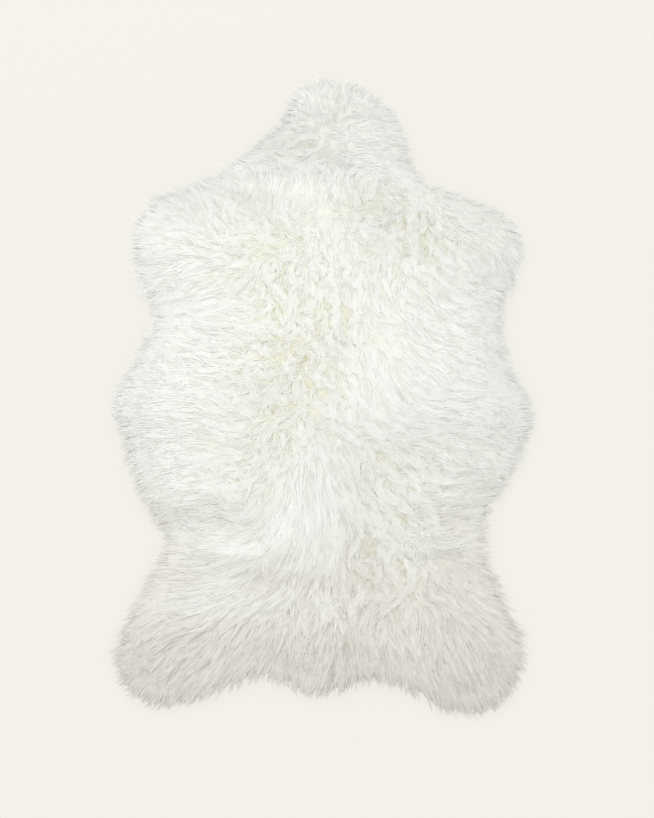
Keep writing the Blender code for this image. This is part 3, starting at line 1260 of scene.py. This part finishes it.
@dataclass
class Locks:
    """The locks of one coat: where they are rooted and how they lie."""

    pelt: Pelt
    combing: Combing
    skin: Skin
    underwool: Underwool
    coat: Coat
    steps: int = 10
    allowance: float = 0.009
    stretch: float = 1.35
    curl_turn: float = 1.3
    straight_turn: float = 0.12
    curl_scatter: float = 0.35
    parting_scatter: float = 0.9
    rise_share: float = 0.25
    root_sink: float = 0.0008
    tip_lift: float = 0.0007
    curl_lift: float = 0.0012
    rump_lift: float = 0.0006
    low_shortens: float = 0.30
    edge_band: float = 0.014
    parted: float = 0.72
    crimped: float = 0.42
    lowest: float = 0.0012
    skin_margin: float = 0.003
    past_edge: float = 0.002
    middle_lift: float = 0.0005
    hair_lift: float = 0.0003
    length_spread: float = 0.14
    least_length: float = 0.65
    most_length: float = 1.4
    bend_middle: float = 0.35
    aside_spread: float = 0.25
    hair_reach: tuple[float, float] = (0.78, 1.05)
    hair_widths: tuple[float, float] = (0.8, 1.2)
    last_ring: float = 0.88
    root_fullness: float = 0.7
    middle_fullness: float = 0.3
    lock_shade: float = 0.6
    hair_shade: float = 0.4
    stain_power: float = 2.0
    curl_stain: float = 1.4
    cream_start: float = 1.3
    cream_reach: float = 0.45
    straight_cream: float = 0.15
    curl_cream: float = 0.85
    shade_grey_spread: float = 0.05

    def roots(self) -> np.ndarray:
        """Scatter the roots over the skin: a staggered grid, each place pushed aside by up
        to half its spacing.

        Returns:
            The roots that lie on the skin, or a little outside it, where the coat grows.
        """
        rng = np.random.default_rng(SEED + self.coat.seed)
        low, high = self.pelt.low, self.pelt.high
        step = self.coat.spacing
        x = np.arange(low[0], high[0], step)
        y = np.arange(low[1], high[1], step * 0.866)
        grid = np.stack(np.meshgrid(x, y, indexing="ij"), axis=-1)
        grid[:, 1::2, 0] += 0.5 * step
        points = grid.reshape(-1, 2) + rng.uniform(-0.5, 0.5, (grid.size // 2, 2)) * step
        kept = self.skin.holds(points, self.skin_margin)
        if self.coat.growth is Growth.EDGE:
            kept &= ~self.skin.holds(points, -self.edge_band)
        if self.coat.growth is Growth.CRIMPED:
            parts = np.linalg.norm(self.combing.way(points), axis=-1) < self.parted
            kept &= parts | (self.combing.curl(points) > self.crimped)
        return points[kept]

    def guides(
        self,
        roots: np.ndarray,
        length: np.ndarray,
        bias: np.ndarray,
        bend: np.ndarray,
    ) -> np.ndarray:
        """Walk each lock from its root in even steps along the way the wool lies.

        Args:
            roots: the roots, (n, 2).
            length: each lock's length.
            bias: each lock's own turn from the combed way.
            bend: how far each lock curls from root to tip, in radians.

        Returns:
            The guides' places, (n, steps + 1, 2).
        """
        place_now = roots
        path = [place_now]
        way = self.combing.way(roots)
        heading = np.arctan2(way[:, 1], way[:, 0])
        for step in range(self.steps):
            share = (step + 0.5) / self.steps
            way = self.combing.way(place_now)
            turn = np.angle(np.exp(1j * (np.arctan2(way[:, 1], way[:, 0]) - heading)))
            heading = heading + 0.5 * turn
            lean = heading + bias + bend * (share - self.bend_middle)
            stride = (length / self.steps)[:, None]
            place_now = place_now + stride * np.stack([np.cos(lean), np.sin(lean)], axis=-1)
            path.append(place_now)
        return np.stack(path, axis=1)

    def trimmed(self, path: np.ndarray, length: np.ndarray, rng: np.random.Generator) -> np.ndarray:
        """Set the lengths of the locks at the edge so that their tips end near the outline.

        Args:
            path: the guides, walked with stretched lengths.
            length: the lengths before.
            rng: the source of each lock's own reach past the outline.

        Returns:
            The new lengths.
        """
        depth = self.pelt.depth(path)
        reach = rng.uniform(-1.0, 1.0, len(path)) ** 3 * self.allowance + self.past_edge
        gone = depth + reach[:, None] < 0.0
        first = np.where(gone.any(axis=1), gone.argmax(axis=1), self.steps)
        crossing = length * self.stretch * first / self.steps
        return np.where(gone.any(axis=1), np.minimum(crossing, self.stretch * length), length)

    def build(self) -> Strands:
        """Lay out the coat's locks and then their strands.

        Returns:
            The strands.
        """
        coat = self.coat
        rng = np.random.default_rng(SEED + 100 + coat.seed)
        roots = self.roots()
        count = len(roots)
        curl = self.combing.curl(roots)
        calm = np.minimum(np.linalg.norm(self.combing.way(roots), axis=-1), 1.0)
        own = rng.normal(0.0, 1.0, (count, 3))
        spread = np.clip(1.0 + self.length_spread * own[:, 0], self.least_length, self.most_length)
        length = coat.length_share * self.combing.length(roots) * spread
        scatter = coat.scatter + self.curl_scatter * curl + self.parting_scatter * (1.0 - calm)
        bias = own[:, 1] * scatter
        bend = own[:, 2] * (self.straight_turn + self.curl_turn * curl)
        stretched = self.guides(roots, length * self.stretch, bias, bend)
        length = self.trimmed(stretched, length, rng)
        path = self.guides(roots, length, bias, bend)
        return self.lay(path, rng)

    def lay(self, path: np.ndarray, rng: np.random.Generator) -> Strands:
        """Lay strands along the guides.

        A strand is off its guide by its own share of the lock's half width, which is full in
        the middle and closes to the tip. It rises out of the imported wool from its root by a
        quarter wave, and lifts off it a little more towards its tip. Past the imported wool's
        rolled edge it lies at its own share of the height that is left, so that the fringe
        is full from the side.

        Args:
            path: the guides, (locks, steps + 1, 2).
            rng: the source of the strands' differences.

        Returns:
            The strands.
        """
        coat, combing = self.coat, self.combing
        form = coat.form
        count = len(path)
        shape = (count, coat.hairs)
        root = path[:, 0]
        aside = np.linspace(-1.0, 1.0, coat.hairs)[None]
        aside = aside + rng.uniform(-self.aside_spread, self.aside_spread, shape)
        level = rng.uniform(coat.least_rise, 1.0, shape)
        reach = rng.uniform(*self.hair_reach, shape) * (1.0 - self.low_shortens * (1.0 - level))
        rings = np.concatenate([np.linspace(0.0, self.last_ring, form.rings), [1.0]])
        along = np.minimum(rings * reach[..., None], 1.0) * self.steps
        cell = np.minimum(along.astype(int), self.steps - 1)
        part = (along - cell)[..., None]
        lock = np.arange(count)[:, None, None]
        plan = path[lock, cell] * (1 - part) + path[lock, cell + 1] * part
        way = path[lock, cell + 1] - path[lock, cell]
        way /= np.linalg.norm(way, axis=-1, keepdims=True) + 1e-9
        side = np.stack([-way[..., 1], way[..., 0]], axis=-1)
        share = along / self.steps
        close = 1.0 - combing.clump(root)[:, None, None] * share**2
        fullness = self.root_fullness + self.middle_fullness * np.sin(math.pi * share**0.8)
        spread = coat.half_width * fullness * close
        plan = plan + side * (aside[..., None] * spread)[..., None]
        curl = combing.curl(plan)
        rump = combing.rump(plan)
        rise = np.sin(0.5 * math.pi * np.minimum(share / self.rise_share, 1.0))
        lock_lift = coat.lift + coat.lift_spread * rng.uniform(-1.0, 1.0, count)
        free = lock_lift[:, None, None] + self.middle_lift * (1.0 - aside**2)[..., None]
        free = free + rng.uniform(-self.hair_lift, self.hair_lift, shape)[..., None]
        free = free + share * (self.tip_lift + self.curl_lift * curl + self.rump_lift * rump)
        packed = self.underwool.top(plan)
        above = combing.surface(plan) - packed
        z = packed + above * level[..., None]
        z = z + free * rise - self.root_sink * (1.0 - rise)
        z = np.maximum(z, self.lowest)
        places = np.concatenate([plan, z[..., None]], axis=-1).reshape(-1, form.rings + 1, 3)
        total = len(places)
        shade = self.lock_shade * np.repeat(rng.uniform(0.0, 1.0, count), coat.hairs)
        shade = shade + self.hair_shade * rng.uniform(0.0, 1.0, total)
        stain = rng.uniform(0.0, 1.0, shape)[..., None] ** (self.stain_power - self.curl_stain * curl)
        base = np.clip(self.cream_start - share / self.cream_reach, 0.0, 1.0)
        base = base * (self.straight_cream + self.curl_cream * curl) * stain
        width = form.width * rng.uniform(*self.hair_widths, total)[:, None]
        width = width * np.array(form.taper)[None]
        roots = np.repeat(root, coat.hairs, axis=0)
        # Painted shade: each lock takes the chart's grey at its middle.
        lock_grey = combing.shade_grey(path[:, self.steps // 2])[:, None]
        return Strands(
            form=form,
            places=places,
            width=width,
            cream=np.maximum(base, combing.cream(plan)).reshape(total, -1),
            shade_grey=(lock_grey + rng.normal(0.0, self.shade_grey_spread, shape)).ravel(),
            warm=combing.warm(roots),
            shade=shade,
            root=roots,
        )


def strand_mesh(name: str, strands: Strands) -> bpy.types.Mesh:
    """Make closed strands: a ring is the form's section around its place, the rings are
    joined by quads, the tip is a point, and the root is a fan.

    Args:
        name: the mesh's name.
        strands: the strands.

    Returns:
        The mesh, with the numbers as attributes and a cell of the map for each strand.
    """
    section = np.array(strands.form.section)
    sides = len(section)
    places = strands.places
    count, rings = places.shape[0], places.shape[1] - 1
    way = np.gradient(places, axis=1)
    way /= np.linalg.norm(way, axis=-1, keepdims=True) + 1e-12
    side = np.stack([-way[..., 1], way[..., 0], np.zeros_like(way[..., 0])], axis=-1)
    side /= np.linalg.norm(side, axis=-1, keepdims=True) + 1e-12
    up = np.cross(way, side)
    half = 0.5 * strands.width[:, :, None, None]
    body, side, up = (values[:, :-1, None] for values in (places, side, up))
    ring = body + half * (side * section[:, :1] + up * section[:, 1:])
    points = np.concatenate([ring.reshape(count, -1, 3), places[:, -1:]], axis=1)
    each = sides * rings + 1
    first = (np.arange(count) * each)[:, None, None]
    k = np.arange(sides)
    after = (k + 1) % sides
    base = first + (np.arange(rings - 1) * sides)[None, :, None]
    quads = np.stack([base + k, base + sides + k, base + sides + after, base + after], axis=-1)
    end = first[:, 0] + sides * (rings - 1)
    tips = np.stack([end + k, np.broadcast_to(end + sides, (count, sides)), end + after], axis=-1)
    fan = np.stack([np.zeros(sides - 2, int), k[1:-1], k[2:]], axis=-1)
    caps = first + fan[None]
    triangles = np.concatenate([tips.reshape(-1, 3), caps.reshape(-1, 3)])
    mesh = mesh_of(name, points.reshape(-1, 3), quads.reshape(-1, 4), triangles)
    cream = np.repeat(strands.cream[:, :-1], sides, axis=1)
    add_attribute(mesh, "cream", np.concatenate([cream, strands.cream[:, -1:]], axis=1))
    # Painted shade: each strand's grey from the chart.
    add_attribute(mesh, "shade_grey", np.repeat(strands.shade_grey, each))
    add_attribute(mesh, "warm", np.repeat(strands.warm, each))
    add_attribute(mesh, "shade", np.repeat(strands.shade, each))
    crease_strands(mesh, rings, sides)
    lay_map(mesh, count, rings, sides)
    return mesh


def crease_strands(mesh: bpy.types.Mesh, rings: int, sides: int) -> None:
    """Keep a strand's flat underside and root apart from its rounded top in the shading, by
    a crease along its first and last corners and round its root.

    Args:
        mesh: the strands' mesh.
        rings: how many rings a strand has.
        sides: how many sides a strand has.
    """
    ends = np.empty(len(mesh.edges) * 2, np.int32)
    mesh.edges.foreach_get("vertices", ends)
    local = ends.reshape(-1, 2) % (sides * rings + 1)
    corner = np.where(local == sides * rings, -1, local % sides)
    tip = (corner == -1).any(axis=1)
    side = np.where(tip, corner.max(axis=1), np.where(corner[:, 0] == corner[:, 1], corner[:, 0], -2))
    creased = (side == 0) | (side == 2) | (local < sides).all(axis=1)
    mesh.attributes.new("sharp_edge", "BOOLEAN", "EDGE")
    mesh.attributes["sharp_edge"].data.foreach_set("value", creased)


def lay_map(mesh: bpy.types.Mesh, count: int, rings: int, sides: int) -> None:
    """Give each strand its own cell of a square map, with its sides beside each other and
    its length up the cell.

    Args:
        mesh: the strands' mesh, whose faces come in the order of strand_mesh.
        count: how many strands it has.
        rings: how many rings a strand has.
        sides: how many sides a strand has.
    """
    across = math.ceil(math.sqrt(count))
    cell = np.stack([np.arange(count) % across, np.arange(count) // across], axis=-1) / across
    k = np.arange(sides)
    left = np.repeat((k / sides)[None], rings - 1, axis=0)
    right = left + 1.0 / sides
    low = np.repeat(np.arange(rings - 1)[:, None] / rings, sides, axis=1)
    high = low + 1.0 / rings
    quad_u = np.stack([left, left, right, right], axis=-1)
    quad_v = np.stack([low, high, high, low], axis=-1)
    quad = np.stack([quad_u, quad_v], axis=-1).reshape(1, -1, 2)
    top = (rings - 1) / rings
    tip_u = np.stack([k / sides, (k + 0.5) / sides, (k + 1) / sides], axis=-1)
    tip_v = np.broadcast_to([top, 1.0, top], tip_u.shape)
    tip = np.stack([tip_u, tip_v], axis=-1).reshape(1, -1, 2)
    turn = 2.0 * math.pi * k / sides
    corner = np.stack([0.5 + 0.1 * np.cos(turn), -0.07 + 0.03 * np.sin(turn)], axis=-1)
    fan = np.stack([corner[np.zeros(sides - 2, int)], corner[1:-1], corner[2:]], axis=1)
    fan = fan.reshape(1, -1, 2)
    margin, size = 0.14 / across, 0.74 / across
    parts = [cell[:, None] + margin + size * part for part in (quad, tip, fan)]
    layer = mesh.uv_layers.new(name="OFBake")
    flat = np.concatenate([part.reshape(-1) for part in parts])
    layer.data.foreach_set("uv", flat.astype(np.float32))


@dataclass
class Studio:
    """A pale floor, soft light and the camera straight above."""

    floor_colour: tuple[float, ...] = colour(245, 242, 235)
    view_width: float = 1.0696
    view_centre: tuple[float, float] = (0.0074, -0.0196)
    camera_height: float = 4.2
    sensor: float = 36.0
    camera_reach: float = 50.0
    picture: tuple[int, int] = (654, 818)
    floor_half: float = 4.0
    floor_drop: float = 0.0004
    floor_paint: float = 0.15
    floor_glow: float = 0.83
    dome_colour: tuple[float, ...] = (0.992, 1.0, 0.988, 1.0)
    dome_strength: float = 0.975
    key_colour: tuple[float, ...] = (1.0, 0.985, 0.96)
    key_watts: float = 16.0
    key_width: float = 1.2
    key_place: tuple[float, ...] = (-0.7, 1.9, 2.1)
    key_turn: tuple[float, ...] = (math.radians(-40.6), math.radians(-18.4), 0.0)

    def build_floor(self) -> None:
        """Lay the floor as a lit white table top, so that hardly a shadow shows on it."""
        half = self.floor_half
        corners = np.array([[-half, -half, 0], [half, -half, 0], [half, half, 0], [-half, half, 0]])
        corners = corners - [0.0, 0.0, self.floor_drop]
        mesh = mesh_of("floor", corners, np.array([[0, 1, 2, 3]]), np.empty((0, 3), int))
        finish = Finish("floor")
        material = finish.material
        shader = finish.shader
        paint = tuple(self.floor_paint * channel for channel in self.floor_colour[:3])
        shader.inputs["Base Color"].default_value = (*paint, 1.0)
        shader.inputs["Emission Color"].default_value = self.floor_colour
        shader.inputs["Emission Strength"].default_value = self.floor_glow
        shader.inputs["Roughness"].default_value = 1.0
        shader.inputs["Specular IOR Level"].default_value = 0.0
        place(mesh, material)

    def build_light(self) -> None:
        """Light the rug evenly from all round, with a weak soft lamp past the neck."""
        world = bpy.data.worlds.new("studio")
        world.use_nodes = True
        shade = world.node_tree.nodes["Background"]
        shade.inputs["Color"].default_value = self.dome_colour
        shade.inputs["Strength"].default_value = self.dome_strength
        bpy.context.scene.world = world
        lamp = bpy.data.lights.new("key", "AREA")
        lamp.shape = "DISK"
        lamp.size = self.key_width
        lamp.energy = self.key_watts
        lamp.color = self.key_colour
        key = bpy.data.objects.new("key", lamp)
        key.location = self.key_place
        key.rotation_euler = self.key_turn
        bpy.context.scene.collection.objects.link(key)

    def build_camera(self) -> None:
        """Hang the camera straight above, with the lens that frames the view's height."""
        camera = bpy.data.cameras.new("camera")
        view_height = self.view_width * self.picture[1] / self.picture[0]
        camera.sensor_width = self.sensor
        camera.lens = self.sensor * self.camera_height / view_height
        camera.clip_end = self.camera_reach
        holder = bpy.data.objects.new("camera", camera)
        holder.location = (*self.view_centre, self.camera_height)
        bpy.context.scene.collection.objects.link(holder)
        bpy.context.scene.camera = holder

    def build(self) -> None:
        """Build the whole studio."""
        self.build_floor()
        self.build_light()
        self.build_camera()
        bpy.context.scene.view_settings.view_transform = "Standard"


@dataclass
class Fleece:
    """All the locks, coat by coat, parted into pieces by the part of the pelt they grow on."""

    pelt: Pelt
    combing: Combing
    skin: Skin
    underwool: Underwool
    most_triangles: int = 195000

    def build(self, finish: bpy.types.Material) -> list[bpy.types.Object]:
        """Build every coat and split each into as few pieces as hold its triangles.

        Args:
            finish: the wool's material.

        Returns:
            The pieces.
        """
        pieces = []
        for coat in (STAPLE, FRINGE, CRIMP, GUARD):
            strands = Locks(self.pelt, self.combing, self.skin, self.underwool, coat).build()
            each = strands.form.triangles
            parts = math.ceil(len(strands.places) * each / self.most_triangles)
            order = np.argsort(-strands.root[:, 1], kind="stable")
            for number, chosen in enumerate(np.array_split(order, parts)):
                mesh = strand_mesh(f"{coat.name}_{number + 1}", strands.part(chosen))
                pieces.append(place(mesh, finish))
                LOG.info("%s: %d strands, %d triangles", mesh.name, len(chosen), len(chosen) * each)
        return pieces


def main() -> None:
    """Build the rug and its studio, and tell the frame what each piece is."""
    logging.basicConfig(level=logging.INFO, format="%(message)s")
    pelt = Pelt(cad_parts["sheepskin"])
    combing = Combing(pelt)
    fibres = fibre_group()
    skin = Skin(pelt, combing)
    skin_piece = skin.build(SuedeFinish().make("suede", fibres))
    packed = Underwool(pelt, combing, skin)
    underwool = packed.build(UnderwoolFinish().make("underwool", fibres))
    locks = Fleece(pelt, combing, skin, packed).build(WoolFinish().make("wool", fibres))
    wool = [underwool, *locks]
    for piece in [skin_piece, *wool]:
        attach(piece, "root")
        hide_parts("sheepskin")
    LOG.info("skin: %.3f by %.3f m, %.3f square metres", *skin.flat, skin.area)
    total = sum(len(piece.data.loops) - 2 * len(piece.data.polygons) for piece in [skin_piece, *wool])
    LOG.info("%d triangles in all", total)
    Studio().build()


if __name__ == "__main__":
    main()
